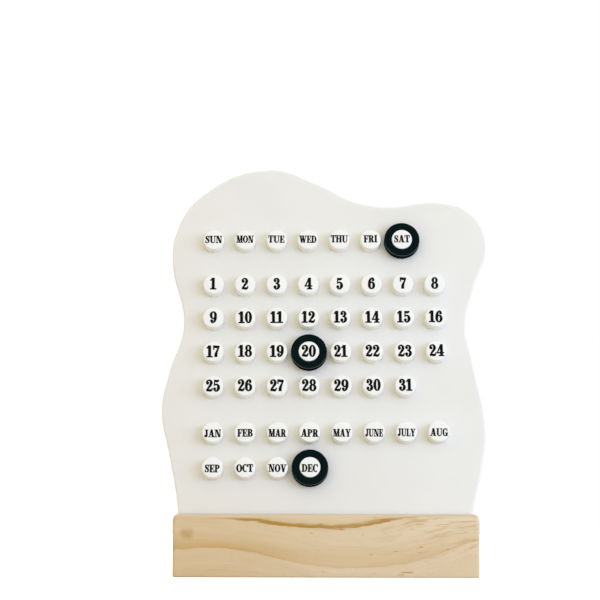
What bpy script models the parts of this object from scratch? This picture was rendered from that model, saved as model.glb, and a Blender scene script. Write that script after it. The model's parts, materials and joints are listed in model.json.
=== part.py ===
"""Perpetual peg calendar: a wavy panel leaning in a slotted pine block, with fifty round pegs
for the weekdays, dates and months, and three loose rings that mark the day.

Metres, +Z up. The origin is the centre of the block's underside and the front faces -Y.
"""
import math

import bmesh
import bpy
from mathutils import Matrix, Vector

MM = 0.001

# Pegs: turned discs bonded to the panel's face
PEG_DIAMETER = 12.7 * MM
PEG_HEIGHT = 6.4 * MM
PEG_EDGE = 0.5 * MM
BOND_LINE = 0.2 * MM
PEG_SIDES = 24

# Rings: loose, slipped over a peg down to the panel
RING_CLEARANCE = 0.3 * MM
RING_WALL = 4.55 * MM
RING_HEIGHT = 6.5 * MM
RING_EDGE = 0.7 * MM
RING_SEAT_GAP = 0.3 * MM
RING_SIDES = 32
MERGE_DISTANCE = 0.01 * MM

# Peg field: the pitch leaves room for a ring beside the next peg. The rows climb a little to the
# right, turned about one peg.
COLUMNS = 8
RING_TO_COLUMN_GAP = 2.2 * MM
RING_TO_ROW_GAP = 4.45 * MM
GROUP_GAP = 7.4 * MM
LOWEST_ROW_HEIGHT = 27.2 * MM
ROW_TILT = math.radians(0.44)
TILT_PEG = "month_peg_feb"

# Panel: acrylic sheet standing in the block's slot
PANEL_THICKNESS = 3.0 * MM
PANEL_LEAN = math.radians(12.0)
FOOT_OUTSET = 20.5 * MM
FOOT_HEIGHT = 2.0 * MM
OUTLINE_STEPS = 7

# Block: planed pine with eased edges and one leaning slot, cut from end to end
BLOCK_DEPTH = 38.0 * MM
BLOCK_HEIGHT = 38.0 * MM
BLOCK_OVERHANG = 2.5 * MM
TOP_EDGE_RADIUS = 4.0 * MM
UPRIGHT_EDGE_SHARE = 0.5
BOTTOM_EDGE_SHARE = 0.3
SLOT_SETBACK = 11.0 * MM
SLOT_DEPTH = 15.0 * MM
SLOT_CLEARANCE = 0.3 * MM

# What the pegs stand for, in reading order, and the pegs that carry the rings
WEEKDAYS = ("sun", "mon", "tue", "wed", "thu", "fri", "sat")
MONTHS = ("jan", "feb", "mar", "apr", "may", "jun", "jul", "aug", "sep", "oct", "nov", "dec")
DATES = tuple(f"{date:02d}" for date in range(1, 32))
RINGED_PEGS = {
    "weekday_ring": "weekday_peg_sat",
    "date_ring": "date_peg_20",
    "month_ring": "month_peg_dec",
}

# Wavy edge, clockwise from the left foot. Each knot stands beside one peg: the peg's name, then how
# far the knot lies to the right of the peg's centre and above it, in millimetres up the panel.
WAVY_EDGE = (
    ("month_peg_sep", -26.5, 9.0),
    ("month_peg_jan", -31.6, 16.0),
    ("date_peg_25", -27.1, 10.6),
    ("date_peg_09", -18.5, -3.4),
    ("weekday_peg_sun", -25.9, -11.8),
    ("weekday_peg_sun", -22.8, 10.2),
    ("weekday_peg_sun", -8.3, 31.7),
    ("weekday_peg_tue", -4.6, 49.8),
    ("weekday_peg_wed", 6.9, 39.5),
    ("weekday_peg_thu", 9.1, 28.3),
    ("weekday_peg_fri", 10.0, 24.3),
    ("weekday_peg_sat", 23.5, 27.1),
    ("weekday_peg_sat", 43.5, 20.6),
    ("weekday_peg_sat", 53.8, -0.8),
    ("date_peg_08", 25.7, 1.5),
    ("date_peg_16", 19.3, -3.0),
    ("date_peg_24", 23.0, -6.0),
    ("month_peg_aug", 29.4, 1.9),
    ("month_peg_aug", 25.3, -27.6),
)

peg_radius = PEG_DIAMETER / 2
ring_bore_radius = peg_radius + RING_CLEARANCE
ring_radius = ring_bore_radius + RING_WALL
column_pitch = peg_radius + ring_radius + RING_TO_COLUMN_GAP
row_pitch = peg_radius + ring_radius + RING_TO_ROW_GAP
field_half_width = column_pitch * (COLUMNS - 1) / 2
foot_half_width = field_half_width + FOOT_OUTSET
tongue_length = SLOT_DEPTH - SLOT_CLEARANCE
block_width = 2 * (foot_half_width + BLOCK_OVERHANG)


def peg_rows():
    """The peg names of each row, from the top row down."""
    rows = [[f"weekday_peg_{name}" for name in WEEKDAYS]]
    for kind, names in (("date", DATES), ("month", MONTHS)):
        for first in range(0, len(names), COLUMNS):
            rows.append([f"{kind}_peg_{name}" for name in names[first:first + COLUMNS]])
    return rows


def peg_field():
    """Place of each peg on the panel: across from its middle, and up from the block's top."""
    places = {}
    up = LOWEST_ROW_HEIGHT
    row_below = None
    for row in reversed(peg_rows()):
        kind = row[0].split("_")[0]
        if row_below:
            up += row_pitch if kind == row_below else row_pitch + GROUP_GAP
        row_below = kind
        for column, name in enumerate(row):
            places[name] = Vector((column * column_pitch - field_half_width, up))
    pivot = places[TILT_PEG].copy()
    turn = Matrix.Rotation(ROW_TILT, 2)
    return {name: pivot + turn @ (place - pivot) for name, place in places.items()}


def new_collection(name):
    collection = bpy.data.collections.new(name)
    bpy.context.scene.collection.children.link(collection)
    return collection


def new_material(name, colour, roughness, metallic=0.0):
    material = bpy.data.materials.new(name)
    material.use_nodes = True
    shader = material.node_tree.nodes["Principled BSDF"]
    shader.inputs["Base Color"].default_value = (*colour, 1.0)
    shader.inputs["Roughness"].default_value = roughness
    shader.inputs["Metallic"].default_value = metallic
    material.diffuse_color = (*colour, 1.0)
    return material


def new_object(name, data, collection, parent=None, location=(0.0, 0.0, 0.0), turn=0.0):
    """Link an object, turned about X, in its parent's frame."""
    item = bpy.data.objects.new(name, data)
    collection.objects.link(item)
    item.parent = parent
    item.location = location
    item.rotation_euler.x = turn
    return item


def box_mesh(name, size, centre):
    work = bmesh.new()
    bmesh.ops.create_cube(work, size=1.0)
    bmesh.ops.scale(work, vec=Vector(size), verts=work.verts)
    bmesh.ops.translate(work, vec=Vector(centre), verts=work.verts)
    mesh = bpy.data.meshes.new(name)
    work.to_mesh(mesh)
    work.free()
    return mesh


def smooth(mesh):
    mesh.shade_smooth()
    mesh.set_sharp_from_angle(angle=math.radians(30))


def block_mesh():
    """The plain block, with its edges weighted for the bevel: top most, bottom least."""
    size = (block_width, BLOCK_DEPTH, BLOCK_HEIGHT)
    mesh = box_mesh("base_block", size, (0.0, 0.0, BLOCK_HEIGHT / 2))
    work = bmesh.new()
    work.from_mesh(mesh)
    weight = work.edges.layers.float.new("bevel_weight_edge")
    for edge in work.edges:
        low, high = sorted(vertex.co.z for vertex in edge.verts)
        if low > BLOCK_HEIGHT / 2:
            edge[weight] = 1.0
        elif high > BLOCK_HEIGHT / 2:
            edge[weight] = UPRIGHT_EDGE_SHARE
        else:
            edge[weight] = BOTTOM_EDGE_SHARE
    work.to_mesh(mesh)
    work.free()
    return mesh


def make_block(parts, cutters, panel_frame):
    block = new_object("base_block", block_mesh(), parts)
    easing = block.modifiers.new("eased_edges", "BEVEL")
    easing.limit_method = "WEIGHT"
    easing.width = TOP_EDGE_RADIUS
    easing.segments = 3

    mouth = BLOCK_HEIGHT
    size = (block_width * 2, PANEL_THICKNESS + 2 * SLOT_CLEARANCE, SLOT_DEPTH + mouth)
    centre = (0.0, PANEL_THICKNESS / 2, (mouth - SLOT_DEPTH) / 2)
    cutter = new_object("slot_cutter", box_mesh("slot_cutter", size, centre), cutters, panel_frame)
    cutter.hide_render = True
    cutter.display_type = "WIRE"
    slot = block.modifiers.new("panel_slot", "BOOLEAN")
    slot.operation = "DIFFERENCE"
    slot.solver = "EXACT"
    slot.object = cutter
    return block


def panel_outline(peg_places):
    """Knots of the panel's edge: across, up, and whether the knot is a square corner."""
    knots = [(-foot_half_width, -tongue_length, True), (-foot_half_width, FOOT_HEIGHT, False)]
    for peg, right, above in WAVY_EDGE:
        across, up = peg_places[peg]
        knots.append((across + right * MM, up + above * MM, False))
    knots += [(foot_half_width, FOOT_HEIGHT, False), (foot_half_width, -tongue_length, True)]
    return knots


def make_panel(parts, panel_frame, peg_places):
    curve = bpy.data.curves.new("wavy_panel", "CURVE")
    curve.dimensions = "2D"
    curve.fill_mode = "BOTH"
    curve.extrude = PANEL_THICKNESS / 2
    curve.resolution_u = OUTLINE_STEPS
    knots = panel_outline(peg_places)
    spline = curve.splines.new("BEZIER")
    spline.bezier_points.add(len(knots) - 1)
    spline.use_cyclic_u = True
    for point, (across, up, corner) in zip(spline.bezier_points, knots):
        point.co = (across, up, 0.0)
        point.handle_left_type = point.handle_right_type = "VECTOR" if corner else "AUTO"
    place = (0.0, PANEL_THICKNESS / 2, 0.0)
    return new_object("wavy_panel", curve, parts, panel_frame, place, math.radians(90))


def peg_mesh():
    """One disc, its back at the origin and its rounded face towards +Z."""
    work = bmesh.new()
    bmesh.ops.create_cone(work, cap_ends=True, segments=PEG_SIDES, radius1=peg_radius,
                          radius2=peg_radius, depth=PEG_HEIGHT)
    bmesh.ops.translate(work, vec=(0.0, 0.0, PEG_HEIGHT / 2), verts=work.verts)
    rim = [edge for edge in work.edges if all(v.co.z > PEG_HEIGHT / 2 for v in edge.verts)]
    bmesh.ops.bevel(work, geom=rim, offset=PEG_EDGE, segments=1, affect="EDGES")
    mesh = bpy.data.meshes.new("peg")
    work.to_mesh(mesh)
    work.free()
    smooth(mesh)
    return mesh


def ring_mesh():
    """Half section of a ring, run down its outer side and back up its bore."""
    edge = RING_EDGE
    section = (
        (ring_bore_radius, RING_HEIGHT - edge),
        (ring_bore_radius + edge, RING_HEIGHT),
        (ring_radius - edge, RING_HEIGHT),
        (ring_radius, RING_HEIGHT - edge),
        (ring_radius, edge),
        (ring_radius - edge, 0.0),
        (ring_bore_radius + edge, 0.0),
        (ring_bore_radius, edge),
    )
    mesh = bpy.data.meshes.new("ring")
    loop = [(index, (index + 1) % len(section)) for index in range(len(section))]
    mesh.from_pydata([(across, 0.0, up) for across, up in section], loop, [])
    return mesh


def make_ring(name, mesh, parts, panel_frame, place):
    ring = new_object(name, mesh, parts, panel_frame, place, math.radians(90))
    turn = ring.modifiers.new("turned", "SCREW")
    turn.steps = turn.render_steps = RING_SIDES
    turn.use_merge_vertices = True
    turn.merge_threshold = MERGE_DISTANCE
    turn.use_smooth_shade = True
    return ring


for leftover in list(bpy.data.objects):
    bpy.data.objects.remove(leftover)

parts_collection = new_collection("peg_calendar")
cutter_collection = new_collection("cutters")

pine = new_material("pine", (0.67, 0.52, 0.33), 0.55)
acrylic = new_material("satin_acrylic", (0.79, 0.77, 0.73), 0.4)
peg_white = new_material("peg_white", (0.90, 0.90, 0.89), 0.35)
ring_black = new_material("ring_black", (0.008, 0.012, 0.013), 0.15)

slot_mouth = (0.0, SLOT_SETBACK - BLOCK_DEPTH / 2, BLOCK_HEIGHT)
panel_frame = new_object("panel_frame", None, parts_collection, None, slot_mouth, -PANEL_LEAN)

peg_places = peg_field()
make_block(parts_collection, cutter_collection, panel_frame).data.materials.append(pine)
make_panel(parts_collection, panel_frame, peg_places).data.materials.append(acrylic)

shared_peg = peg_mesh()
shared_peg.materials.append(peg_white)
for name, (across, up) in peg_places.items():
    place = (across, -BOND_LINE, up)
    new_object(name, shared_peg, parts_collection, panel_frame, place, math.radians(90))

shared_ring = ring_mesh()
shared_ring.materials.append(ring_black)
for name, peg in RINGED_PEGS.items():
    across, up = peg_places[peg]
    make_ring(name, shared_ring, parts_collection, panel_frame, (across, -RING_SEAT_GAP, up))
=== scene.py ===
import json
import math
import random

import bmesh
import bpy
from mathutils import Matrix, Vector
from mathutils.geometry import delaunay_2d_cdt


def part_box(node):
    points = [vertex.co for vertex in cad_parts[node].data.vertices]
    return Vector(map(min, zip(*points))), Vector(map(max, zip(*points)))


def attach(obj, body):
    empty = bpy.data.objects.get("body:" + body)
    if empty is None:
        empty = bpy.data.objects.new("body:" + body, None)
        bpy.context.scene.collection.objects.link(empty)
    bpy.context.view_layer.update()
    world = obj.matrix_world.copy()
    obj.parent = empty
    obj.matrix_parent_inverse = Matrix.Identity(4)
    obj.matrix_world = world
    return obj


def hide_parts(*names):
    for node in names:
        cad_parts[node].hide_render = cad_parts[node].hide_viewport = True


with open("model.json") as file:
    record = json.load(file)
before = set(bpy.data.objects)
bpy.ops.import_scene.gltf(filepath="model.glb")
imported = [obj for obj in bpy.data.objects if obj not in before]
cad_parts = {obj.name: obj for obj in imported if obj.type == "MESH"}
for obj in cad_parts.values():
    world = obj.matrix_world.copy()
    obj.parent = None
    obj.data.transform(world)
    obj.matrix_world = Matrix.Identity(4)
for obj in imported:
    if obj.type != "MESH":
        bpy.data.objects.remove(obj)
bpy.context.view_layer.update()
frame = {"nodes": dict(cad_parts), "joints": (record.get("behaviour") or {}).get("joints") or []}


# Pine block
# A length of planed softwood, its upper arrises sanded round, with one leaning saw cut from
# end to end that the panel stands in. The grain runs along the block and dips right of centre.
MM = 0.001
block_low, block_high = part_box("base_block")
block_size = block_high - block_low
TOP_ARRIS = 4.0 * MM
ARRIS_SHARES = {"top": 1.0, "upright": 0.5, "bottom": 0.3}
KERF_ARRIS = 0.25 * MM
KERF_CLEARANCE = 0.3 * MM
ARRIS_STEPS, KERF_STEPS = 8, 2

lift = next(joint for joint in frame["joints"] if joint["name"] == "panel_lift")
UP_PANEL = Vector(lift["axis"]).normalized()
ACROSS = Vector((1.0, 0.0, 0.0))
OUT_OF_PANEL = ACROSS.cross(UP_PANEL)


def leaning(point):
    """Frame on the panel: X across, Y up the panel, Z out of its face, at the given point."""
    return Matrix.Translation(point) @ Matrix((ACROSS, UP_PANEL, OUT_OF_PANEL)).transposed().to_4x4()


def add_node(tree, kind, links=None, **settings):
    """Add a node: settings are its properties, links set inputs to a value, a socket or a node."""
    made = tree.nodes.new(kind)
    for name, value in settings.items():
        setattr(made, name, value)
    for socket, source in (links or {}).items():
        if isinstance(source, bpy.types.Node):
            source = source.outputs[0]
        if isinstance(source, bpy.types.NodeSocket):
            tree.links.new(source, made.inputs[socket])
        else:
            made.inputs[socket].default_value = source
    return made


def colour(hex_code):
    """An sRGB hex colour as linear RGBA."""
    channels = [int(hex_code[place:place + 2], 16) / 255 for place in (1, 3, 5)]
    linear = [c / 12.92 if c <= 0.04045 else ((c + 0.055) / 1.055) ** 2.4 for c in channels]
    return (*linear, 1.0)


def new_material(name):
    """An empty material: its node tree, and the Principled shader that feeds its output."""
    material = bpy.data.materials.new(name)
    material.use_nodes = True
    tree = material.node_tree
    tree.nodes.clear()
    output = add_node(tree, "ShaderNodeOutputMaterial")
    shader = add_node(tree, "ShaderNodeBsdfPrincipled")
    tree.links.new(shader.outputs["BSDF"], output.inputs["Surface"])
    return material, tree, shader


def set_ramp(node, stops):
    """Give a colour ramp grey stops, as pairs of position and value."""
    ramp = node.color_ramp.elements
    while len(ramp) < len(stops):
        ramp.new(0.5)
    for element, (position, value) in zip(ramp, stops):
        element.position = position
        element.color = (value, value, value, 1.0)


def mesh_object(name, mesh, *materials):
    """An object in the scene that shows a mesh, with its materials."""
    piece = bpy.data.objects.new(name, mesh)
    bpy.context.scene.collection.objects.link(piece)
    for material in materials:
        mesh.materials.append(material)
    return piece


def box_mesh(name, size, centre):
    """A plain box of the given size about a centre."""
    work = bmesh.new()
    bmesh.ops.create_cube(work, size=1.0)
    bmesh.ops.scale(work, vec=size, verts=work.verts)
    bmesh.ops.translate(work, vec=centre, verts=work.verts)
    mesh = bpy.data.meshes.new(name)
    work.to_mesh(mesh)
    work.free()
    return mesh


def settle(piece):
    """Turn a piece's modifiers and place into a plain mesh on an object at the origin."""
    bpy.context.view_layer.update()
    graph = bpy.context.evaluated_depsgraph_get()
    mesh = bpy.data.meshes.new_from_object(piece.evaluated_get(graph))
    mesh.transform(piece.matrix_world)
    name = piece.name
    bpy.data.objects.remove(piece)
    return mesh_object(name, mesh)


def shade(piece, degrees):
    """Smooth shading that stops at edges sharper than the angle."""
    piece.data.shade_smooth()
    piece.data.set_sharp_from_angle(angle=math.radians(degrees))


def planed_pine():
    """Planed pine: pale early wood that deepens slowly to a sharp golden line, with resin flecks."""
    material, tree, shader = new_material("planed_pine")

    # Growth rings: round a pith behind and above the block, dipping in one broad hollow
    RING_WIDTH, FIRST_LINE = 11.3 * MM, 85.0 * MM
    PITH = Vector((0.0, 60.0, 75.0)) * MM
    SLOPE = math.radians(2.2)
    HOLLOW_PLACE, HOLLOW_DRIFT = 31.8 * MM, 0.8
    HOLLOW_DEPTH, HOLLOW_REACH = 15 * MM, 100 * MM
    UPPER_SHOULDER, UPPER_REACH = 7 * MM, 78 * MM
    UPPER_LEVELS = 22 * MM, 36 * MM
    WANDER, RAGGED = 3.0 * MM, 1.3 * MM
    # The wave texture turns this many radians in one unit
    WAVE_RATE = 20

    # Length and thickness of each kind of grain. The fibres and the torn edges of the lines are finer
    # in real pine, and are drawn as coarse as they need to show
    SWAY_GRAIN, TORN_GRAIN = (60 * MM, 22 * MM), (8 * MM, 0.8 * MM)
    PATCH_GRAIN, CLOUD_GRAIN = (22 * MM, 5 * MM), (40 * MM, 5 * MM)
    FIBRE_GRAIN, FLECK_GRAIN = (26 * MM, 0.6 * MM), (6.5 * MM, 0.55 * MM)
    BAND_GRAIN, BLOTCH_GRAIN = (16 * MM, 1.3 * MM), (5 * MM, 3 * MM)
    FIBRE_RELIEF = 0.08 * MM
    WOOD_ROUGHNESS, LINE_ROUGHNESS = 0.60, 0.45

    # The stretch of the block over which each mark comes or goes: along it, then up it and across it
    LINE_START, GOLDEN_END = (-72 * MM, -52 * MM), (-55 * MM, 20 * MM)
    FLECKED_END, STREAKED_END, CALM_END = (-30 * MM, 25 * MM), (15 * MM, 55 * MM), (35 * MM, 75 * MM)
    LINE_LEVELS, LIT_ARRIS_LEVELS = (20 * MM, 30 * MM), (34.8 * MM, 37.6 * MM)
    FRONT_ARRIS = -16.5 * MM, -14.5 * MM
    STAIN_PLACE = Vector((-83.6, -19.0, 26.5)) * MM
    STAIN_SIZE = Vector((6.0, 9.0, 5.5)) * MM

    # The part of its noise that each mark takes up, how strong it is, and its tone
    PATCH_CUT, FIBRE_CUT, BAND_CUT = (0.3, 0.58), (0.5, 0.85), (0.5, 0.72)
    FLECK_CUT, STAIN_CUT = (0.75, 0.81), (0.08, 0.38)
    GOLDEN_SHARES, CLOUD_SHARE = (0.42, 0.17), 0.6
    LOW_LINES, PATCH_SHARE, CALM_SHARE, FLECKED_SHARE = 0.1, 0.5, 0.45, 0.2
    FIBRE_SHARE, BAND_SHARE, FLECK_SHARE, STAIN_SHARE, ARRIS_LIGHT_SHARE = 0.28, 0.75, 0.65, 0.6, 0.8
    EARLY_WOOD, WARM_WOOD, LATE_WOOD, RING_LINE = "#ebdfc9", "#d4bb91", "#caa868", "#aa801a"
    # The last tone here is the front arris: paler sanded fibres with a painted highlight where the arris
    # catches light from above
    FIBRE, BAND, FLECK, STAIN, SANDED_AND_LIT = "#b8935a", "#bb9350", "#b18a45", "#b5923c", "#d2c7b2"

    # Sockets by number: a Map Range takes its value at 0 and turns 1 and 2 into 3 and 4, and a Mix has
    # its share at 0, numbers at 2 and 3 and colours at 6 and 7
    place = add_node(tree, "ShaderNodeTexCoord").outputs["Object"]
    axes = add_node(tree, "ShaderNodeSeparateXYZ", {0: place}).outputs
    along, across, up = axes["X"], axes["Y"], axes["Z"]

    def grain(where, size, detail, seed):
        """Noise stretched along the block, its size given as length and thickness."""
        long, thick = size
        scale = (1 / long, 1 / thick, 1 / thick)
        stretched = add_node(tree, "ShaderNodeMapping", {"Vector": where, "Scale": scale})
        noise = add_node(tree, "ShaderNodeTexNoise", {"Vector": stretched, "W": seed, "Scale": 1.0,
                                                      "Detail": detail}, noise_dimensions="4D")
        return noise.outputs["Fac"]

    # The hollow drifts to the right and widens on its way down
    drift = add_node(tree, "ShaderNodeMath", {0: up, 1: HOLLOW_DRIFT, 2: along}, operation="MULTIPLY_ADD")
    middle = add_node(tree, "ShaderNodeMath", {0: drift, 1: HOLLOW_PLACE}, operation="SUBTRACT")
    away = add_node(tree, "ShaderNodeMath", {0: middle}, operation="ABSOLUTE")
    wide = add_node(tree, "ShaderNodeMapRange", {0: away, 1: HOLLOW_REACH, 2: 0.0, 3: 0.0, 4: HOLLOW_DEPTH},
                    interpolation_type="SMOOTHERSTEP")
    narrow = add_node(tree, "ShaderNodeMapRange", {0: away, 1: UPPER_REACH, 2: 0.0, 3: UPPER_SHOULDER,
                                                   4: HOLLOW_DEPTH}, interpolation_type="SMOOTHERSTEP")
    level = add_node(tree, "ShaderNodeMath", {0: up, 1: wide}, operation="ADD")
    upward = add_node(tree, "ShaderNodeMapRange", {0: level, 1: UPPER_LEVELS[0], 2: UPPER_LEVELS[1]})
    rise = add_node(tree, "ShaderNodeMix", {0: upward, 2: wide, 3: narrow})
    for size, detail, seed, most in ((SWAY_GRAIN, 3.0, 0.0, WANDER), (TORN_GRAIN, 2.0, 5.0, RAGGED)):
        sway = grain(place, size, detail, seed)
        sway = add_node(tree, "ShaderNodeMapRange", {0: sway, 3: -most, 4: most})
        rise = add_node(tree, "ShaderNodeMath", {0: rise, 1: sway}, operation="ADD")
    shift = add_node(tree, "ShaderNodeCombineXYZ", {"Z": rise})
    bent = add_node(tree, "ShaderNodeVectorMath", {0: place, 1: shift}, operation="ADD")
    from_pith = add_node(tree, "ShaderNodeMapping", {"Vector": bent, "Location": -PITH,
                                                     "Rotation": (0.0, SLOPE, 0.0)})
    rings = add_node(tree, "ShaderNodeTexWave", {"Vector": from_pith,
                                                 "Scale": math.tau / WAVE_RATE / RING_WIDTH,
                                                 "Phase Offset": -math.tau * FIRST_LINE / RING_WIDTH,
                                                 "Distortion": 0.0},
                     wave_type="RINGS", rings_direction="X", wave_profile="SAW")

    # Each season darkens slowly and ends in a thin line, strongest in the upper rings
    season = add_node(tree, "ShaderNodeValToRGB", {0: rings})
    set_ramp(season, ((0.0, 0.12), (0.06, 0.02), (0.35, 0.08), (0.60, 0.30),
                      (0.84, 0.60), (0.95, 0.85), (0.990, 0.90), (1.0, 0.12)))
    lines = add_node(tree, "ShaderNodeValToRGB", {0: rings})
    set_ramp(lines, ((0.0, 0.0), (0.90, 0.0), (0.94, 0.9), (0.955, 1.0), (0.985, 1.0), (1.0, 0.0)))
    height = add_node(tree, "ShaderNodeMath", {0: up, 1: block_size.z}, operation="DIVIDE")
    depth = add_node(tree, "ShaderNodeValToRGB", {0: height})
    set_ramp(depth, ((0.0, 0.1), (0.2, 0.4), (0.42, 1.0), (0.6, 0.9), (0.85, 0.4)))
    calm = add_node(tree, "ShaderNodeMapRange", {0: along, 1: CALM_END[0], 2: CALM_END[1],
                                                 3: 1.0, 4: CALM_SHARE})
    upper = add_node(tree, "ShaderNodeMapRange", {0: up, 1: LINE_LEVELS[0], 2: LINE_LEVELS[1],
                                                  3: LOW_LINES, 4: 1.0})
    patches = grain(bent, PATCH_GRAIN, detail=3.0, seed=3.0)
    patchy = add_node(tree, "ShaderNodeMapRange", {0: patches, 1: PATCH_CUT[0], 2: PATCH_CUT[1],
                                                   3: PATCH_SHARE, 4: 1.0})
    begun = add_node(tree, "ShaderNodeMapRange", {0: along, 1: LINE_START[0], 2: LINE_START[1]})
    for share in (depth, calm):
        season = add_node(tree, "ShaderNodeMath", {0: season, 1: share}, operation="MULTIPLY")
    for share in (upper, patchy, begun, calm):
        lines = add_node(tree, "ShaderNodeMath", {0: lines, 1: share}, operation="MULTIPLY")

    # Fine fibres all over, streaks where the rings run out on the right, and short resin flecks
    clouds = grain(bent, CLOUD_GRAIN, detail=4.0, seed=19.0)
    golden = add_node(tree, "ShaderNodeMapRange", {0: along, 1: GOLDEN_END[0], 2: GOLDEN_END[1],
                                                   3: GOLDEN_SHARES[0], 4: GOLDEN_SHARES[1]},
                      interpolation_type="SMOOTHSTEP")
    warmth = add_node(tree, "ShaderNodeMath", {0: clouds, 1: CLOUD_SHARE, 2: golden},
                      operation="MULTIPLY_ADD")
    fibres = grain(bent, FIBRE_GRAIN, detail=3.0, seed=7.0)
    fibre = add_node(tree, "ShaderNodeMapRange", {0: fibres, 1: FIBRE_CUT[0], 2: FIBRE_CUT[1],
                                                  3: 0.0, 4: FIBRE_SHARE})
    bands = grain(bent, BAND_GRAIN, detail=2.0, seed=29.0)
    band = add_node(tree, "ShaderNodeMapRange", {0: bands, 1: BAND_CUT[0], 2: BAND_CUT[1],
                                                 3: 0.0, 4: BAND_SHARE})
    streaked = add_node(tree, "ShaderNodeMapRange", {0: along, 1: STREAKED_END[0], 2: STREAKED_END[1]})
    for share in (streaked, height):
        band = add_node(tree, "ShaderNodeMath", {0: band, 1: share}, operation="MULTIPLY")
    flecks = grain(bent, FLECK_GRAIN, detail=0.0, seed=11.0)
    fleck = add_node(tree, "ShaderNodeMapRange", {0: flecks, 1: FLECK_CUT[0], 2: FLECK_CUT[1],
                                                  3: 0.0, 4: FLECK_SHARE})
    flecked = add_node(tree, "ShaderNodeMapRange", {0: along, 1: FLECKED_END[0], 2: FLECKED_END[1],
                                                    3: FLECKED_SHARE, 4: 1.0})
    fleck = add_node(tree, "ShaderNodeMath", {0: fleck, 1: flecked}, operation="MULTIPLY")

    # A small stain near the left end, and a paler band on the front arris: partly sanded fibres, partly a
    # painted highlight where the arris catches light from above
    stain_frame = add_node(tree, "ShaderNodeMapping", {"Vector": place, "Location": STAIN_PLACE,
                                                       "Scale": STAIN_SIZE}, vector_type="TEXTURE")
    spot = add_node(tree, "ShaderNodeTexGradient", {0: stain_frame}, gradient_type="SPHERICAL")
    blotches = grain(place, BLOTCH_GRAIN, detail=2.0, seed=23.0)
    blotch = add_node(tree, "ShaderNodeMath", {0: spot.outputs["Fac"], 1: blotches}, operation="MULTIPLY")
    stain = add_node(tree, "ShaderNodeMapRange", {0: blotch, 1: STAIN_CUT[0], 2: STAIN_CUT[1],
                                                  3: 0.0, 4: STAIN_SHARE})
    top = add_node(tree, "ShaderNodeMapRange", {0: up, 1: LIT_ARRIS_LEVELS[0], 2: LIT_ARRIS_LEVELS[1],
                                                3: 0.0, 4: ARRIS_LIGHT_SHARE})
    front = add_node(tree, "ShaderNodeMapRange", {0: across, 1: FRONT_ARRIS[0], 2: FRONT_ARRIS[1],
                                                  3: 1.0, 4: 0.0})
    arris = add_node(tree, "ShaderNodeMath", {0: top, 1: front}, operation="MULTIPLY")

    # Each mark is laid over the wood in turn
    wood = add_node(tree, "ShaderNodeMix", {0: warmth, 6: colour(EARLY_WOOD), 7: colour(WARM_WOOD)},
                    data_type="RGBA")
    for share, tone in ((season, LATE_WOOD), (lines, RING_LINE), (fibre, FIBRE), (band, BAND),
                        (fleck, FLECK), (stain, STAIN), (arris, SANDED_AND_LIT)):
        wood = add_node(tree, "ShaderNodeMix", {0: share, 6: wood.outputs[2], 7: colour(tone)},
                        data_type="RGBA")
    tree.links.new(wood.outputs[2], shader.inputs["Base Color"])

    dull = add_node(tree, "ShaderNodeMapRange", {0: lines, 3: WOOD_ROUGHNESS, 4: LINE_ROUGHNESS})
    tree.links.new(dull.outputs[0], shader.inputs["Roughness"])
    relief = add_node(tree, "ShaderNodeMath", {0: fibres, 1: lines}, operation="ADD")
    bump = add_node(tree, "ShaderNodeBump", {"Strength": 0.3, "Distance": FIBRE_RELIEF, "Height": relief})
    tree.links.new(bump.outputs[0], shader.inputs["Normal"])
    return material


def peg_seat(node):
    """Point where a peg's axis meets the peg's back, worked out from the node's box."""
    low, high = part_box(node)
    radius = (high.x - low.x) / 2
    return Vector(((low.x + high.x) / 2, high.y - radius * UP_PANEL.y, low.z + radius * UP_PANEL.z))


block_mesh = box_mesh("pine_block", block_size, (block_low + block_high) / 2)
work = bmesh.new()
work.from_mesh(block_mesh)
weight = work.edges.layers.float.new("bevel_weight_edge")
for edge in work.edges:
    tops = sum(vertex.co.z > block_size.z / 2 for vertex in edge.verts)
    edge[weight] = ARRIS_SHARES[("bottom", "upright", "top")[tops]]
work.to_mesh(block_mesh)
work.free()
block = mesh_object("pine_block", block_mesh, planed_pine())
arrises = block.modifiers.new("sanded_arrises", "BEVEL")
arrises.limit_method = "WEIGHT"
arrises.width = TOP_ARRIS
arrises.segments = ARRIS_STEPS

# The saw cut takes its faces from the panel's tongue
panel_node = frame["nodes"]["wavy_panel"]
panel_frame = leaning(peg_seat("weekday_peg_sun"))
to_panel = panel_frame.inverted()
panel_points = [to_panel @ vertex.co for vertex in panel_node.data.vertices]
panel_back = min(point.z for point in panel_points)
panel_face = max(point.z for point in panel_points)
panel_foot = min(point.y for point in panel_points)
kerf_size = Vector((block_size.x * 2, block_size.z * 2, panel_face - panel_back + 2 * KERF_CLEARANCE))
kerf_centre = Vector((0.0, panel_foot - KERF_CLEARANCE + kerf_size.y / 2, (panel_face + panel_back) / 2))
kerf = mesh_object("kerf_cutter", box_mesh("kerf_cutter", kerf_size, kerf_centre))
kerf.matrix_world = panel_frame
cut = block.modifiers.new("saw_cut", "BOOLEAN")
cut.operation = "DIFFERENCE"
cut.object = kerf
broken = block.modifiers.new("broken_kerf_edges", "BEVEL")
broken.limit_method = "ANGLE"
broken.angle_limit = math.radians(50)
broken.width = KERF_ARRIS
broken.segments = KERF_STEPS
block = settle(block)
bpy.data.objects.remove(kerf)
shade(block, degrees=35)
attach(block, "base")
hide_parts("base_block")


# Wavy panel
# A sheet of off-white cast acrylic, cut to a wavy outline with its edges polished and its arrises
# broken by hand. It stands loose in the block's saw cut.
PANEL_ARRIS = 1.1 * MM
OUTLINE_STEPS, ARRIS_ROUNDS = 4, 4
OUTLINE_BULGE = 0.1 * MM
WELD, SHEET_WELD = 0.001 * MM, 0.005 * MM
FLATNESS = 0.01 * MM


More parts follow.
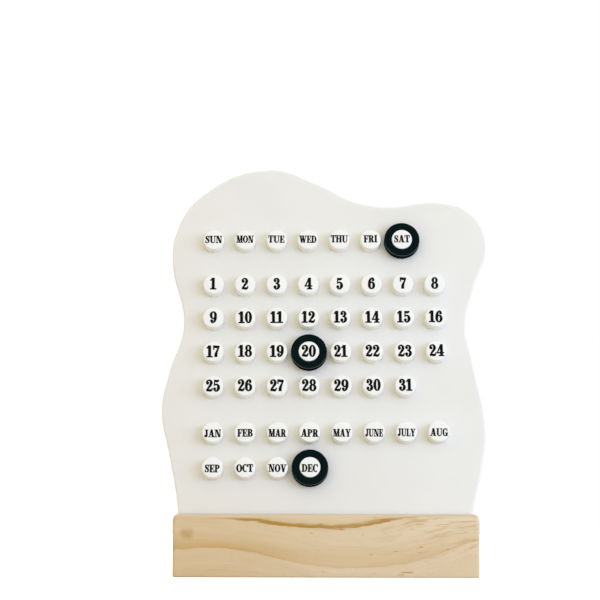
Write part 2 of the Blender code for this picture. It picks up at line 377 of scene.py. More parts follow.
def face_outline(node, level):
    """The corner points round a flat face of a node, in order, in the panel's frame."""
    work = bmesh.new()
    work.from_mesh(node.data)
    bmesh.ops.remove_doubles(work, verts=work.verts, dist=WELD)
    work.transform(to_panel)
    face = {vertex for vertex in work.verts if abs(vertex.co.z - level) < FLATNESS}
    rim = [edge for edge in work.edges if face.issuperset(edge.verts)
           and any(not face.issuperset(side.verts) for side in edge.link_faces)]
    neighbours = {}
    for edge in rim:
        first, second = edge.verts
        neighbours.setdefault(first, []).append(second)
        neighbours.setdefault(second, []).append(first)
    start = min(neighbours, key=lambda vertex: (vertex.co.y, vertex.co.x))
    loop = [start]
    before, here = start, neighbours[start][0]
    while here is not start:
        loop.append(here)
        onward = [vertex for vertex in neighbours[here] if vertex is not before]
        before, here = here, onward[0]
    points = [vertex.co.copy() for vertex in loop]
    work.free()
    return points


def cast_acrylic():
    """Cast acrylic, satin side out: opal off-white that glows at its edges, with a faint orange peel."""
    material, tree, shader = new_material("satin_cast_acrylic")
    CLOUD = 45 * MM
    PEEL, PEEL_DEPTH = 1.1 * MM, 0.03 * MM
    OPAL_REACH = 2.5 * MM
    ROUGHNESS = 0.38, 0.50
    place = add_node(tree, "ShaderNodeTexCoord").outputs["Object"]
    clouds = add_node(tree, "ShaderNodeTexNoise", {"Vector": place, "Scale": 1 / CLOUD, "Detail": 3.0})
    body = add_node(tree, "ShaderNodeMix", {0: clouds.outputs["Fac"], 6: colour("#ebedee"),
                                            7: colour("#e4e6e6")}, data_type="RGBA")
    tree.links.new(body.outputs[2], shader.inputs["Base Color"])
    sheen = add_node(tree, "ShaderNodeMapRange", {0: clouds.outputs["Fac"],
                                                  3: ROUGHNESS[0], 4: ROUGHNESS[1]})
    tree.links.new(sheen.outputs[0], shader.inputs["Roughness"])
    peel = add_node(tree, "ShaderNodeTexNoise", {"Vector": place, "Scale": 1 / PEEL, "Detail": 2.0})
    bump = add_node(tree, "ShaderNodeBump", {"Strength": 0.12, "Distance": PEEL_DEPTH,
                                             "Height": peel.outputs["Fac"]})
    tree.links.new(bump.outputs[0], shader.inputs["Normal"])
    shader.inputs["IOR"].default_value = 1.49
    shader.inputs["Specular IOR Level"].default_value = 0.2
    shader.inputs["Subsurface Weight"].default_value = 0.5
    shader.inputs["Subsurface Radius"].default_value = (1.0, 1.0, 1.0)
    shader.inputs["Subsurface Scale"].default_value = OPAL_REACH
    return material


outline = face_outline(panel_node, panel_face)
sheet = bpy.data.curves.new("wavy_panel_sheet", "CURVE")
sheet.dimensions = "2D"
sheet.fill_mode = "BOTH"
sheet.resolution_u = OUTLINE_STEPS
sheet.bevel_depth = PANEL_ARRIS
sheet.bevel_resolution = ARRIS_ROUNDS
sheet.offset = -PANEL_ARRIS - OUTLINE_BULGE
sheet.extrude = (panel_face - panel_back) / 2 - PANEL_ARRIS
spline = sheet.splines.new("BEZIER")
spline.bezier_points.add(len(outline) - 1)
spline.use_cyclic_u = True
for knot, point in zip(spline.bezier_points, outline):
    knot.co = (point.x, point.y, 0.0)
    square = point.y < panel_foot + PANEL_ARRIS
    knot.handle_left_type = knot.handle_right_type = "VECTOR" if square else "AUTO"
sheet.materials.append(cast_acrylic())
panel = bpy.data.objects.new("wavy_panel_sheet", sheet)
bpy.context.scene.collection.objects.link(panel)
panel.matrix_world = panel_frame @ Matrix.Translation((0.0, 0.0, (panel_face + panel_back) / 2))
panel = settle(panel)
work = bmesh.new()
work.from_mesh(panel.data)
bmesh.ops.remove_doubles(work, verts=work.verts, dist=SHEET_WELD)
bmesh.ops.recalc_face_normals(work, faces=work.faces)
work.to_mesh(panel.data)
work.free()
shade(panel, degrees=40)
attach(panel, "panel")
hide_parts("wavy_panel")


# Pegs
# White moulded discs with a slightly broken face edge, all alike, bonded to the panel in rows of
# eight: the weekdays on top, the dates in the middle and the months below.
PEG_ROUNDING = 0.5 * MM
ROUNDING_STEPS = 5
PEG_SIDES = 72
WEEKDAYS = ("sun", "mon", "tue", "wed", "thu", "fri", "sat")
MONTHS = ("jan", "feb", "mar", "apr", "may", "jun", "jul", "aug", "sep", "oct", "nov", "dec")
DATES = tuple(range(1, 32))
peg_nodes = {
    "weekday": {f"weekday_peg_{name}": name.upper() for name in WEEKDAYS},
    "date": {f"date_peg_{date:02d}": str(date) for date in DATES},
    "month": {f"month_peg_{name}": name.upper() for name in MONTHS},
}
peg_nodes["month"].update({"month_peg_jun": "JUNE", "month_peg_jul": "JULY"})
bond_line = -panel_face


def turned_size(node):
    """Radius and height of a round piece that stands square on the panel, from its box."""
    low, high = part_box(node)
    radius = (high.x - low.x) / 2
    return radius, (high.y - low.y - 2 * radius * UP_PANEL.y) / -OUT_OF_PANEL.y


peg_radius, peg_height = turned_size("date_peg_01")


def quarter(centre, radius, start, steps):
    """Points of a quarter circle, clockwise from the start angle in degrees."""
    angles = [math.radians(start - 90 * step / steps) for step in range(steps + 1)]
    return [(centre[0] + radius * math.cos(a), centre[1] + radius * math.sin(a)) for a in angles]


def turned(name, section, sides, closed):
    """Turn a section of (radius, height) points round the Z axis."""
    work = bmesh.new()
    corners = [work.verts.new((radius, 0.0, height)) for radius, height in section]
    edges = [work.edges.new(pair) for pair in zip(corners, corners[1:])]
    if closed:
        edges.append(work.edges.new((corners[-1], corners[0])))
    bmesh.ops.spin(work, geom=corners + edges, cent=(0, 0, 0), axis=(0, 0, 1), angle=math.tau,
                   steps=sides, use_merge=True)
    bmesh.ops.remove_doubles(work, verts=work.verts, dist=WELD)
    bmesh.ops.recalc_face_normals(work, faces=work.faces)
    mesh = bpy.data.meshes.new(name)
    work.to_mesh(mesh)
    work.free()
    return mesh


def moulded_white():
    """Moulded white styrene: a cool white satin face, slightly wavy, with painted warm shade on its side.
    """
    material, tree, shader = new_material("moulded_white_styrene")
    WAVE = 6 * MM
    # The mould's satin is finer than this, and is drawn as coarse as it needs to show
    SATIN, SATIN_DEPTH = 0.5 * MM, 0.02 * MM
    SIDE_TURN = 0.2, 0.8
    ROUGHNESS = 0.28, 0.40
    coordinates = add_node(tree, "ShaderNodeTexCoord").outputs
    place, outward = coordinates["Object"], coordinates["Normal"]
    waves = add_node(tree, "ShaderNodeTexNoise", {"Vector": place, "Scale": 1 / WAVE, "Detail": 2.0})
    face = add_node(tree, "ShaderNodeMix", {0: waves.outputs["Fac"], 6: colour("#f4f9fc"),
                                            7: colour("#f0f5f8")}, data_type="RGBA")
    # The side takes a creamier tone as painted shade: it stands for the warm light that reaches the pegs'
    # walls in shade
    facing = add_node(tree, "ShaderNodeVectorMath", {0: outward, 1: OUT_OF_PANEL}, operation="DOT_PRODUCT")
    side = add_node(tree, "ShaderNodeMapRange", {0: facing.outputs["Value"], 1: SIDE_TURN[0],
                                                 2: SIDE_TURN[1], 3: 1.0, 4: 0.0})
    body = add_node(tree, "ShaderNodeMix", {0: side, 6: face.outputs[2], 7: colour("#f6f5ef")},
                    data_type="RGBA")
    tree.links.new(body.outputs[2], shader.inputs["Base Color"])
    gloss = add_node(tree, "ShaderNodeMapRange", {0: waves.outputs["Fac"],
                                                  3: ROUGHNESS[0], 4: ROUGHNESS[1]})
    tree.links.new(gloss.outputs[0], shader.inputs["Roughness"])
    satin = add_node(tree, "ShaderNodeTexNoise", {"Vector": place, "Scale": 1 / SATIN, "Detail": 1.0})
    bump = add_node(tree, "ShaderNodeBump", {"Strength": 0.1, "Distance": SATIN_DEPTH,
                                             "Height": satin.outputs["Fac"]})
    tree.links.new(bump.outputs[0], shader.inputs["Normal"])
    shader.inputs["Specular IOR Level"].default_value = 0.2
    return material


def peg_field_tree():
    """Geometry Nodes: one turned peg on every point, leaning with the panel."""
    tree = bpy.data.node_groups.new("peg_field", "GeometryNodeTree")
    inputs = {"Seats": "Geometry", "Peg": "Object", "Lean": "Rotation", "Finish": "Material"}
    for name, kind in inputs.items():
        tree.interface.new_socket(name, in_out="INPUT", socket_type=f"NodeSocket{kind}")
    tree.interface.new_socket("Pegs", in_out="OUTPUT", socket_type="NodeSocketGeometry")
    given = add_node(tree, "NodeGroupInput").outputs
    peg = add_node(tree, "GeometryNodeObjectInfo", {"Object": given["Peg"]})
    placed = add_node(tree, "GeometryNodeInstanceOnPoints", {"Points": given["Seats"],
                                                             "Instance": peg.outputs["Geometry"],
                                                             "Rotation": given["Lean"]})
    real = add_node(tree, "GeometryNodeRealizeInstances", {0: placed.outputs[0]})
    finished = add_node(tree, "GeometryNodeSetMaterial", {"Geometry": real.outputs[0],
                                                          "Material": given["Finish"]})
    add_node(tree, "NodeGroupOutput", {"Pegs": finished.outputs[0]})
    return tree


def set_inputs(modifier, **values):
    """Set a Geometry Nodes modifier's inputs by name, through the sockets' identifiers."""
    for item in modifier.node_group.interface.items_tree:
        if item.in_out == "INPUT" and item.name in values:
            modifier[item.identifier] = values[item.name]


rim_centre = (peg_radius - PEG_ROUNDING, peg_height - PEG_ROUNDING)
peg_section = [(0.0, peg_height)]
peg_section += quarter(rim_centre, PEG_ROUNDING, 90, ROUNDING_STEPS)
peg_section += [(peg_radius, -bond_line), (0.0, -bond_line)]
peg_shape = mesh_object("peg_shape", turned("peg_shape", peg_section, PEG_SIDES, closed=False))
shade(peg_shape, degrees=35)
peg_white = moulded_white()
peg_tree = peg_field_tree()
for kind, nodes in peg_nodes.items():
    seats = bpy.data.meshes.new(f"{kind}_pegs")
    seats.from_pydata([peg_seat(node) for node in nodes], [], [])
    pegs = mesh_object(f"{kind}_pegs", seats)
    field = pegs.modifiers.new("peg_field", "NODES")
    field.node_group = peg_tree
    set_inputs(field, Peg=peg_shape, Lean=leaning(Vector()).to_euler(), Finish=peg_white)
    pegs = settle(pegs)
    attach(pegs, "panel")
    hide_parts(*nodes)
bpy.data.objects.remove(peg_shape)


# Printing
# Black words and numbers printed on the pegs' faces, in bold high-contrast capitals and figures
# with hairline serifs and ball ends. The ink stands a little proud of the face.
PRINT_HEIGHTS = {"weekday": 4.6 * MM, "date": 7.3 * MM, "month": 4.6 * MM}
PRINT_NARROWING = 0.93
WIDEST_WORD = 10.7 * MM
PRINT_RISES = {"weekday": 0.3 * MM, "date": 0.15 * MM, "month": -0.6 * MM}
LETTER_GAP = 0.04
INK_SPREAD = 0.065
INK_DEPTH = 0.05 * MM
STEM, HAIR = 0.21, 0.06
CURVE_STEPS, BALL_SIDES = 7, 20
BOWL_TURN, FEWEST_BOWL_STEPS = 10, 6
SLIVER, SNAP = 1e-6, 1e-5
PRINT_DRIFT = 0.15 * MM
PRINT_TURN = math.radians(1.0)
PRINT_SEED = 7


def bar(left, bottom, right, top):
    """An upright rectangle, fattened by the spread of the ink."""
    fat = INK_SPREAD / 2
    return [[(left - fat, bottom - fat), (right + fat, bottom - fat),
             (right + fat, top + fat), (left - fat, top + fat)]]


def slant(foot, head, width, bottom=0.0, top=1.0):
    """A slanting stroke with level ends: the left corners of its foot and head, and its width."""
    fat = INK_SPREAD / 2
    return [[(foot - fat, bottom - fat), (foot + width + fat, bottom - fat),
             (head + width + fat, top + fat), (head - fat, top + fat)]]


def serif(left, right, bottom):
    """A level hairline."""
    return bar(left, bottom, right, bottom + HAIR)


def ball(across, up, radius):
    """The round end of a stroke."""
    turns = [math.tau * step / BALL_SIDES for step in range(BALL_SIDES)]
    radius += INK_SPREAD / 2
    return [[(across + radius * math.cos(turn), up + radius * math.sin(turn)) for turn in turns]]


def bowl(across, up, half_width, half_height, heavy, start=0, stop=360):
    """A round stroke between two ellipses, heavy at its sides and hairline at top and bottom."""
    steps = max(FEWEST_BOWL_STEPS, round((stop - start) / BOWL_TURN))
    turns = [math.radians(start + (stop - start) * step / steps) for step in range(steps + 1)]

    def ring(wide, high):
        return [(across + wide * math.cos(turn), up + high * math.sin(turn)) for turn in turns]

    fat = INK_SPREAD / 2
    outer = ring(half_width + fat, half_height + fat)
    inner = ring(half_width - heavy - fat, half_height - HAIR - fat)
    return [[inner[k], outer[k], outer[k + 1], inner[k + 1]] for k in range(steps)]


def brush(*knots):
    """A pen stroke through knots of (across, up, width), as a smooth run of quads."""
    places = [Vector(knot) for knot in knots]
    ends = [2 * places[0] - places[1]] + places + [2 * places[-1] - places[-2]]
    line = []
    for before, here, onward, after in zip(ends, ends[1:], ends[2:], ends[3:]):
        for step in range(CURVE_STEPS):
            t = step / CURVE_STEPS
            line.append(0.5 * (2 * here + (onward - before) * t
                               + (2 * before - 5 * here + 4 * onward - after) * t ** 2
                               + (3 * here - before - 3 * onward + after) * t ** 3))
    line.append(places[-1])
    sides = []
    for index, point in enumerate(line):
        ahead = line[min(index + 1, len(line) - 1)] - line[max(index - 1, 0)]
        across = Vector((-ahead.y, ahead.x)).normalized() * (point.z + INK_SPREAD) / 2
        sides.append((point.xy + across, point.xy - across))
    return [[tuple(a), tuple(b), tuple(d), tuple(c)] for (a, b), (c, d) in zip(sides, sides[1:])]


def stem(left, serifs=0.08, foot=True, head=True):
    """An upright heavy stroke with hairline serifs."""
    shapes = bar(left, 0.0, left + STEM, 1.0)
    if foot:
        shapes += serif(left - serifs, left + STEM + serifs, 0.0)
    if head:
        shapes += serif(left - serifs, left + STEM + serifs, 1.0 - HAIR)
    return shapes


def half_turn(shapes, width):
    """Strokes turned upside down about the middle of their character."""
    return [[(width - x, 1.0 - y) for x, y in shape] for shape in shapes]


SIX = (bowl(0.32, 0.315, 0.30, 0.325, 0.19) + ball(0.47, 0.80, 0.095)
       + brush((0.54, 0.84, 0.05), (0.46, 0.95, 0.06), (0.35, 0.965, 0.07), (0.20, 0.83, 0.14),
               (0.125, 0.58, 0.19), (0.12, 0.34, 0.19)))
C_BOWL = bowl(0.39, 0.5, 0.37, 0.51, STEM, 48, 312) + bar(0.645, 0.66, 0.70, 0.99)
P_BOWL = (stem(0.10) + bowl(0.36, 0.73, 0.33, 0.27, 0.20, -90, 90)
          + serif(0.30, 0.37, 0.46) + serif(0.30, 0.37, 1.0 - HAIR))
F_ARMS = (stem(0.10) + serif(0.30, 0.64, 1.0 - HAIR) + bar(0.585, 0.70, 0.64, 1.0)
          + serif(0.30, 0.50, 0.47) + bar(0.46, 0.37, 0.51, 0.63))
HOOK = brush((0.355, 0.30, 0.21), (0.345, 0.17, 0.19), (0.27, 0.05, 0.10), (0.17, 0.025, 0.06),
             (0.06, 0.12, 0.05))

# Each character: its strokes, drawn one unit high, and its width
GLYPHS = {
    "0": (bowl(0.31, 0.5, 0.30, 0.51, 0.20), 0.62),
    "1": (bar(0.17, 0.0, 0.38, 1.0) + serif(0.02, 0.53, 0.0)
          + brush((0.0, 0.79, 0.06), (0.11, 0.84, 0.08), (0.22, 0.97, 0.14)), 0.55),
    "2": (ball(0.145, 0.72, 0.11)
          + brush((0.055, 0.73, 0.06), (0.09, 0.88, 0.06), (0.24, 0.965, 0.065), (0.40, 0.93, 0.12),
                  (0.475, 0.75, 0.20), (0.42, 0.56, 0.17), (0.24, 0.32, 0.11), (0.06, 0.05, 0.08))
          + brush((0.04, 0.05, 0.09), (0.18, 0.10, 0.13), (0.34, 0.085, 0.17), (0.47, 0.085, 0.14),
                  (0.55, 0.17, 0.07), (0.58, 0.30, 0.04)), 0.62),
    "3": (ball(0.145, 0.77, 0.10) + ball(0.14, 0.215, 0.11)
          + brush((0.055, 0.78, 0.05), (0.12, 0.92, 0.06), (0.27, 0.967, 0.065), (0.41, 0.88, 0.15),
                  (0.44, 0.73, 0.19), (0.36, 0.58, 0.10), (0.20, 0.53, 0.06))
          + brush((0.20, 0.53, 0.06), (0.37, 0.50, 0.09), (0.475, 0.36, 0.19), (0.465, 0.19, 0.20),
                  (0.35, 0.05, 0.10), (0.20, 0.03, 0.06), (0.045, 0.17, 0.05)), 0.62),
    "4": (bar(0.34, 0.0, 0.54, 1.0) + slant(0.0, 0.37, 0.075, 0.26) + serif(0.0, 0.65, 0.25)
          + serif(0.22, 0.66, 0.0), 0.66),
    "5": (bar(0.09, 0.50, 0.145, 0.98) + ball(0.14, 0.21, 0.105)
          + brush((0.09, 0.955, 0.07), (0.22, 0.91, 0.15), (0.38, 0.905, 0.16), (0.53, 0.985, 0.04))
          + brush((0.11, 0.51, 0.05), (0.22, 0.60, 0.06), (0.37, 0.58, 0.11), (0.475, 0.42, 0.20),
                  (0.465, 0.21, 0.20), (0.35, 0.05, 0.10), (0.20, 0.03, 0.06), (0.05, 0.16, 0.05)), 0.62),
    "6": (SIX, 0.64),
    "7": (bar(0.03, 0.67, 0.085, 1.0)
          + brush((0.05, 0.90, 0.15), (0.20, 0.915, 0.17), (0.38, 0.89, 0.17), (0.57, 0.96, 0.08))
          + brush((0.56, 0.95, 0.05), (0.43, 0.68, 0.09), (0.31, 0.40, 0.16), (0.265, 0.20, 0.21),
                  (0.265, 0.0, 0.21)), 0.60),
    "8": (bowl(0.32, 0.755, 0.255, 0.25, 0.165) + bowl(0.32, 0.275, 0.305, 0.285, 0.19), 0.64),
    "9": (half_turn(SIX, 0.64), 0.64),
    "A": (slant(0.09, 0.36, 0.075) + slant(0.51, 0.31, 0.24) + serif(0.18, 0.62, 0.27)
          + serif(0.0, 0.26, 0.0) + serif(0.45, 0.85, 0.0), 0.85),
    "B": (stem(0.10) + bowl(0.36, 0.755, 0.31, 0.245, 0.19, -90, 90) + serif(0.25, 0.38, 0.48)
          + bowl(0.37, 0.27, 0.36, 0.27, STEM, -90, 90) + serif(0.30, 0.38, 0.0)
          + serif(0.30, 0.38, 1.0 - HAIR), 0.74),
    "C": (C_BOWL, 0.73),
    "D": (stem(0.10) + bowl(0.35, 0.5, 0.44, 0.5, STEM, -90, 90) + serif(0.30, 0.36, 0.0)
          + serif(0.30, 0.36, 1.0 - HAIR), 0.80),
    "E": (F_ARMS + serif(0.30, 0.67, 0.0) + bar(0.615, 0.0, 0.67, 0.31), 0.69),
    "F": (F_ARMS, 0.66),
    "G": (C_BOWL + bar(0.53, 0.02, 0.73, 0.42) + serif(0.44, 0.81, 0.39), 0.82),
    "H": (stem(0.09) + stem(0.58) + serif(0.29, 0.60, 0.47), 0.88),
    "I": (stem(0.10), 0.41),
    "J": (bar(0.25, 0.28, 0.46, 1.0) + serif(0.13, 0.56, 1.0 - HAIR) + HOOK
          + ball(0.125, 0.16, 0.105), 0.57),
    "L": (stem(0.10) + serif(0.30, 0.66, 0.0) + bar(0.605, 0.0, 0.66, 0.36), 0.67),
    "M": (bar(0.12, 0.0, 0.18, 1.0) + slant(0.41, 0.12, 0.23) + slant(0.49, 0.75, 0.06) + stem(0.75)
          + serif(0.0, 0.30, 0.0) + serif(0.0, 0.22, 1.0 - HAIR), 1.04),
    "N": (bar(0.12, 0.0, 0.18, 1.0) + bar(0.71, 0.0, 0.77, 1.0) + slant(0.54, 0.12, 0.23)
          + serif(0.0, 0.30, 0.0) + serif(0.0, 0.22, 1.0 - HAIR) + serif(0.59, 0.89, 1.0 - HAIR), 0.88),
    "O": (bowl(0.41, 0.5, 0.40, 0.51, 0.23), 0.82),
    "P": (P_BOWL, 0.70),
    "R": (P_BOWL + slant(0.53, 0.35, 0.23, 0.0, 0.50) + serif(0.55, 0.84, 0.0), 0.82),
    "S": (brush((0.545, 0.74, 0.05), (0.46, 0.91, 0.06), (0.30, 0.965, 0.065), (0.145, 0.86, 0.14),
                (0.155, 0.69, 0.20), (0.31, 0.53, 0.23), (0.465, 0.36, 0.20), (0.47, 0.15, 0.14),
                (0.32, 0.035, 0.065), (0.16, 0.07, 0.06), (0.06, 0.27, 0.05))
          + bar(0.525, 0.67, 0.575, 0.99) + bar(0.035, 0.01, 0.085, 0.33), 0.62),
    "T": (stem(0.27, 0.10, True, False) + serif(0.02, 0.73, 1.0 - HAIR) + bar(0.02, 0.69, 0.075, 1.0)
          + bar(0.675, 0.69, 0.73, 1.0), 0.75),
    "U": (bar(0.10, 0.38, 0.31, 1.0) + bar(0.69, 0.38, 0.75, 1.0) + serif(0.02, 0.39, 1.0 - HAIR)
          + serif(0.58, 0.86, 1.0 - HAIR)
          + brush((0.205, 0.40, 0.21), (0.21, 0.26, 0.21), (0.29, 0.08, 0.14), (0.46, 0.02, 0.07),
                  (0.64, 0.10, 0.06), (0.72, 0.26, 0.06), (0.72, 0.40, 0.06)), 0.86),
    "V": (slant(0.33, 0.07, 0.23) + slant(0.42, 0.68, 0.065) + serif(0.0, 0.38, 1.0 - HAIR)
          + serif(0.57, 0.85, 1.0 - HAIR), 0.84),
    "W": (slant(0.29, 0.07, 0.22) + slant(0.38, 0.56, 0.06) + slant(0.68, 0.45, 0.22)
          + slant(0.78, 1.0, 0.06) + serif(0.0, 0.36, 1.0 - HAIR) + serif(0.40, 0.74, 1.0 - HAIR)
          + serif(0.90, 1.16, 1.0 - HAIR), 1.15),
    "Y": (slant(0.31, 0.07, 0.23, 0.40) + slant(0.45, 0.67, 0.065, 0.40) + bar(0.31, 0.0, 0.52, 0.44)
          + serif(0.0, 0.38, 1.0 - HAIR) + serif(0.56, 0.84, 1.0 - HAIR) + serif(0.22, 0.61, 0.0), 0.83),
}


def printed_word(word):
    """Strokes of a word, one unit high and starting at 0, with its whole width."""
    strokes = []
    width = 0.0
    for character in word:
        shapes, advance = GLYPHS[character]
        strokes.append([[(x + width, y) for x, y in shape] for shape in shapes])
        width += advance + LETTER_GAP
    return strokes, width - LETTER_GAP


def merged(shapes):
    """Points and triangles of the area that overlapping convex shapes cover together."""
    points = []
    faces = []
    for shape in shapes:
        corners = [Vector(corner) for corner in shape]
        for second, third in zip(corners[1:], corners[2:]):
            twice_area = (second - corners[0]).cross(third - corners[0])
            if abs(twice_area) < SLIVER:
                continue
            faces.append([len(points), len(points) + 1, len(points) + 2])
            points += [corners[0], second, third] if twice_area > 0 else [corners[0], third, second]
    covered = delaunay_2d_cdt(points, [], faces, 0, SNAP)
    inside = [face for face, sources in zip(covered[2], covered[5]) if sources]
    return covered[0], inside


def rim_drop(radius):
    """How far a peg's face has fallen away at a radius, where its rim is rounded."""
    past = min(max(radius - (peg_radius - PEG_ROUNDING), 0.0), PEG_ROUNDING)
    return PEG_ROUNDING - math.sqrt(PEG_ROUNDING ** 2 - past ** 2)


def printing_ink():
    """Screen-printed black ink: dense, a little brown, satin, thinner in places."""
    material, tree, shader = new_material("screen_printed_ink")
    PATCH = 1.4 * MM
    ROUGHNESS = 0.40, 0.58
    place = add_node(tree, "ShaderNodeTexCoord").outputs["Object"]
    patches = add_node(tree, "ShaderNodeTexNoise", {"Vector": place, "Scale": 1 / PATCH, "Detail": 3.0})
    density = add_node(tree, "ShaderNodeMix", {0: patches.outputs["Fac"], 6: colour("#050404"),
                                               7: colour("#161210")}, data_type="RGBA")
    tree.links.new(density.outputs[2], shader.inputs["Base Color"])
    satin = add_node(tree, "ShaderNodeMapRange", {0: patches.outputs["Fac"],
                                                  3: ROUGHNESS[0], 4: ROUGHNESS[1]})
    tree.links.new(satin.outputs[0], shader.inputs["Roughness"])
    shader.inputs["Specular IOR Level"].default_value = 0.05
    return material


ink = printing_ink()
drift = random.Random(PRINT_SEED)
for kind, nodes in peg_nodes.items():
    height = PRINT_HEIGHTS[kind]
    work = bmesh.new()
    for node, word in nodes.items():
        strokes, width = printed_word(word)
        narrow = min(PRINT_NARROWING, WIDEST_WORD / (width * height))
        nudge = Matrix.Translation((drift.uniform(-1, 1) * PRINT_DRIFT,
                                    PRINT_RISES[kind] + drift.uniform(-1, 1) * PRINT_DRIFT, peg_height))
        turn = Matrix.Rotation(drift.uniform(-1, 1) * PRINT_TURN, 4, "Z")
        middle = Matrix.Translation((-width / 2 * height * narrow, -height / 2, 0.0))
        size = Matrix.Diagonal((height * narrow, height, 1.0, 1.0))
        on_peg = nudge @ turn @ middle @ size
        seat = leaning(peg_seat(node))
        for character in strokes:
            points, faces = merged(character)
            under = []
            for point in points:
                spot = on_peg @ Vector((point.x, point.y, -INK_DEPTH))
                spot.z -= rim_drop(spot.xy.length)
                under.append(work.verts.new(seat @ spot))
            skin = [work.faces.new([under[corner] for corner in face]) for face in faces]
            raised = bmesh.ops.extrude_face_region(work, geom=skin, use_keep_orig=True)["geom"]
            lifted = [item for item in raised if isinstance(item, bmesh.types.BMVert)]
            bmesh.ops.translate(work, vec=OUT_OF_PANEL * 2 * INK_DEPTH, verts=lifted)
    loose = [vertex for vertex in work.verts if not vertex.link_faces]
    bmesh.ops.delete(work, geom=loose, context="VERTS")
    bmesh.ops.recalc_face_normals(work, faces=work.faces)
    print_mesh = bpy.data.meshes.new(f"{kind}_printing")
    work.to_mesh(print_mesh)
    work.free()
    printing = mesh_object(f"{kind}_printing", print_mesh, ink)
    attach(printing, "panel")


# Rings
# Three black acrylic rings with satin faces and a narrow polished outer edge, loose on their pegs.
# The user lifts them off and slips them over the next weekday, date or month.
RING_CLEARANCE = 0.3 * MM
RING_SEAT_GAP = 0.3 * MM
RING_ROUNDING = 1.0 * MM
POLISHED_TURNS = 0.1, 0.75
BORE_ROUNDING = 0.5 * MM
RING_SIDES = 128
RING_STEPS = 8
ring_pegs = {
    "weekday_ring": "weekday_peg_sat",
    "date_ring": "date_peg_20",
    "month_ring": "month_peg_dec",
}


def black_acrylic(name, specular, roughest):
    """Black acrylic: deep blue-black, dull as it is sawn, with a hard gloss where it is polished."""
    material, tree, shader = new_material(name)
    HAZE, MARK = 4 * MM, 0.8 * MM
    MARK_CUT = 0.35, 0.75
    place = add_node(tree, "ShaderNodeTexCoord").outputs["Object"]
    haze = add_node(tree, "ShaderNodeTexNoise", {"Vector": place, "Scale": 1 / HAZE, "Detail": 4.0})
    body = add_node(tree, "ShaderNodeMix", {0: haze.outputs["Fac"], 6: colour("#081518"),
                                            7: colour("#0d1d20")}, data_type="RGBA")
    tree.links.new(body.outputs[2], shader.inputs["Base Color"])
    marks = add_node(tree, "ShaderNodeTexNoise", {"Vector": place, "Scale": 1 / MARK, "Detail": 5.0})
    gloss = add_node(tree, "ShaderNodeMapRange", {0: marks.outputs["Fac"], 1: MARK_CUT[0], 2: MARK_CUT[1],
                                                  3: roughest / 2, 4: roughest})
    tree.links.new(gloss.outputs[0], shader.inputs["Roughness"])
    shader.inputs["IOR"].default_value = 1.49
    shader.inputs["Specular IOR Level"].default_value = specular
    return material


ring_radius, ring_height = turned_size("date_ring")
ring_bore = peg_radius + RING_CLEARANCE
ring_section = []
for side, level, rounding, start in (
        (ring_radius - RING_ROUNDING, ring_height - RING_ROUNDING, RING_ROUNDING, 90),
        (ring_radius - RING_ROUNDING, RING_ROUNDING, RING_ROUNDING, 0),
        (ring_bore + BORE_ROUNDING, BORE_ROUNDING, BORE_ROUNDING, 270),
        (ring_bore + BORE_ROUNDING, ring_height - BORE_ROUNDING, BORE_ROUNDING, 180)):
    ring_section += quarter((side, level), rounding, start, RING_STEPS)
satin_black = black_acrylic("satin_black_acrylic", specular=0.0, roughest=0.5)
polished_black = black_acrylic("polished_black_acrylic", specular=0.8, roughest=0.15)
for node, peg in ring_pegs.items():
    ring_mesh = turned(node, ring_section, RING_SIDES, closed=True)
    ring = mesh_object(f"{node}_turned", ring_mesh, satin_black, polished_black)
    for face in ring.data.polygons:
        outer = math.hypot(face.center.x, face.center.y) > ring_radius - RING_ROUNDING
        if outer and POLISHED_TURNS[0] < face.normal.z < POLISHED_TURNS[1]:
            face.material_index = 1
    ring.data.transform(leaning(peg_seat(peg)) @ Matrix.Translation((0, 0, RING_SEAT_GAP - bond_line)))
    shade(ring, degrees=40)
    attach(ring, node)
    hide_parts(node)


# Studio
# A plain white floor, a white backdrop where the camera looks past it, a broad soft lamp in front on the
# right, another behind on the left, and a pale room all round.
FLOOR_HALF = 3.0
FLOOR_GLOW = 0.95
WHITE, BLACK = (1.0, 1.0, 1.0, 1.0), (0.0, 0.0, 0.0, 1.0)


def seen_directly(tree):
    """1 on rays from the camera, and on those that it sees mirrored or through something, else 0."""
    path = add_node(tree, "ShaderNodeLightPath").outputs
    seen = path["Is Camera Ray"]
    for ray in ("Is Glossy Ray", "Is Transmission Ray"):
        seen = add_node(tree, "ShaderNodeMath", {0: seen, 1: path[ray]}, operation="MAXIMUM")
    return seen


def studio_white():
    """Matt white floor: bright to the camera, and still darkened where something stands on it."""
    material, tree, shader = new_material("studio_white_floor")
    shader.inputs["Base Color"].default_value = colour("#cdc5b4")
    shader.inputs["Roughness"].default_value = 0.9
    glow = add_node(tree, "ShaderNodeEmission", {"Color": WHITE, "Strength": FLOOR_GLOW})
    dark = add_node(tree, "ShaderNodeEmission", {"Color": BLACK, "Strength": 0.0})
    shown = add_node(tree, "ShaderNodeMixShader", {0: seen_directly(tree), 1: dark, 2: glow})
    both = add_node(tree, "ShaderNodeAddShader", {0: shader, 1: shown})
    output = next(node for node in tree.nodes if node.type == "OUTPUT_MATERIAL")
    tree.links.new(both.outputs[0], output.inputs["Surface"])
    return material


work = bmesh.new()
bmesh.ops.create_grid(work, x_segments=1, y_segments=1, size=FLOOR_HALF)
floor_mesh = bpy.data.meshes.new("studio_floor")
work.to_mesh(floor_mesh)
work.free()
floor = mesh_object("studio_floor", floor_mesh, studio_white())

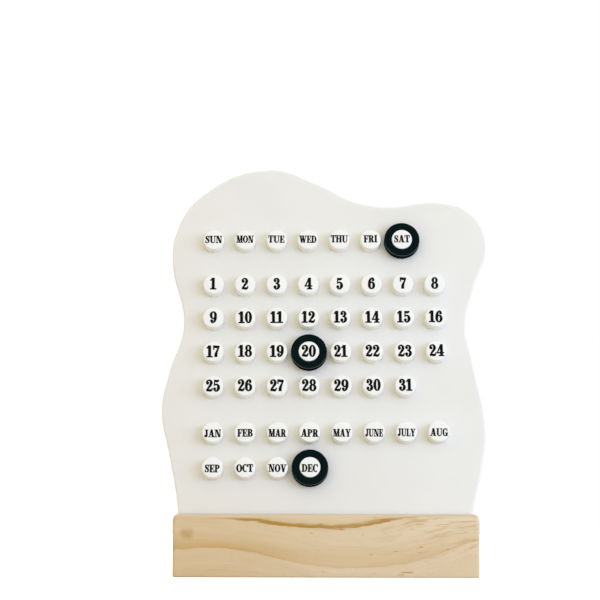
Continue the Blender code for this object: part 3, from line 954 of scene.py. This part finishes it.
ROOM_TINT = (1.05, 0.945, 0.745, 1.0)
ROOM_LEVEL = 0.93
world = bpy.data.worlds.new("pale_room")
bpy.context.scene.world = world
world.use_nodes = True
world.node_tree.nodes.clear()
room_tree = world.node_tree
room = add_node(room_tree, "ShaderNodeBackground", {"Color": ROOM_TINT, "Strength": ROOM_LEVEL})
white = add_node(room_tree, "ShaderNodeBackground", {"Color": WHITE, "Strength": 1.0})
pick = add_node(room_tree, "ShaderNodeMixShader", {0: seen_directly(room_tree), 1: room, 2: white})
add_node(room_tree, "ShaderNodeOutputWorld", {"Surface": pick.outputs[0]})


def soft_lamp(name, place, aim, width, height, power, tone):
    """A broad lamp at a place that shines towards the aim."""
    data = bpy.data.lights.new(name, "AREA")
    data.shape = "RECTANGLE"
    data.size = width
    data.size_y = height
    data.energy = power
    data.color = colour(tone)[:3]
    lamp = bpy.data.objects.new(name, data)
    bpy.context.scene.collection.objects.link(lamp)
    lamp.location = place
    lamp.rotation_euler = (Vector(aim) - Vector(place)).to_track_quat("-Z", "Y").to_euler()


MIDDLE = (0.0, 0.0, 0.14)
soft_lamp("window_right", (1.70, -1.30, 0.45), MIDDLE, width=2.2, height=0.8, power=29.5, tone="#b1cdfa")
soft_lamp("window_behind", (-0.9, 2.9, 1.0), MIDDLE, width=1.4, height=1.8, power=30.0, tone="#b4cefa")


# Camera
# The photograph's view: level with the block's top and a little left of the middle, looking
# slightly up at the panel. Its lens is given by the focal length in the photograph's pixels.
CAMERA_PLACE = Vector((-0.030, -1.219, 0.036))
CAMERA_TURN = math.radians(-0.66)
CAMERA_RISE = math.radians(6.23)
CAMERA_ROLL = math.radians(0.16)
IMAGE_WIDTH_PX = 600
FOCAL_PX = 1989
SENSOR_WIDTH = 36.0
camera_data = bpy.data.cameras.new("photo_camera")
camera_data.sensor_width = SENSOR_WIDTH
camera_data.lens = SENSOR_WIDTH * FOCAL_PX / IMAGE_WIDTH_PX
camera = bpy.data.objects.new("photo_camera", camera_data)
bpy.context.scene.collection.objects.link(camera)
camera.matrix_world = (Matrix.Translation(CAMERA_PLACE)
                       @ Matrix.Rotation(CAMERA_TURN, 4, "Z")
                       @ Matrix.Rotation(math.pi / 2 + CAMERA_RISE, 4, "X")
                       @ Matrix.Rotation(CAMERA_ROLL, 4, "Z"))
bpy.context.scene.camera = camera
bpy.context.scene.view_settings.view_transform = "Standard"
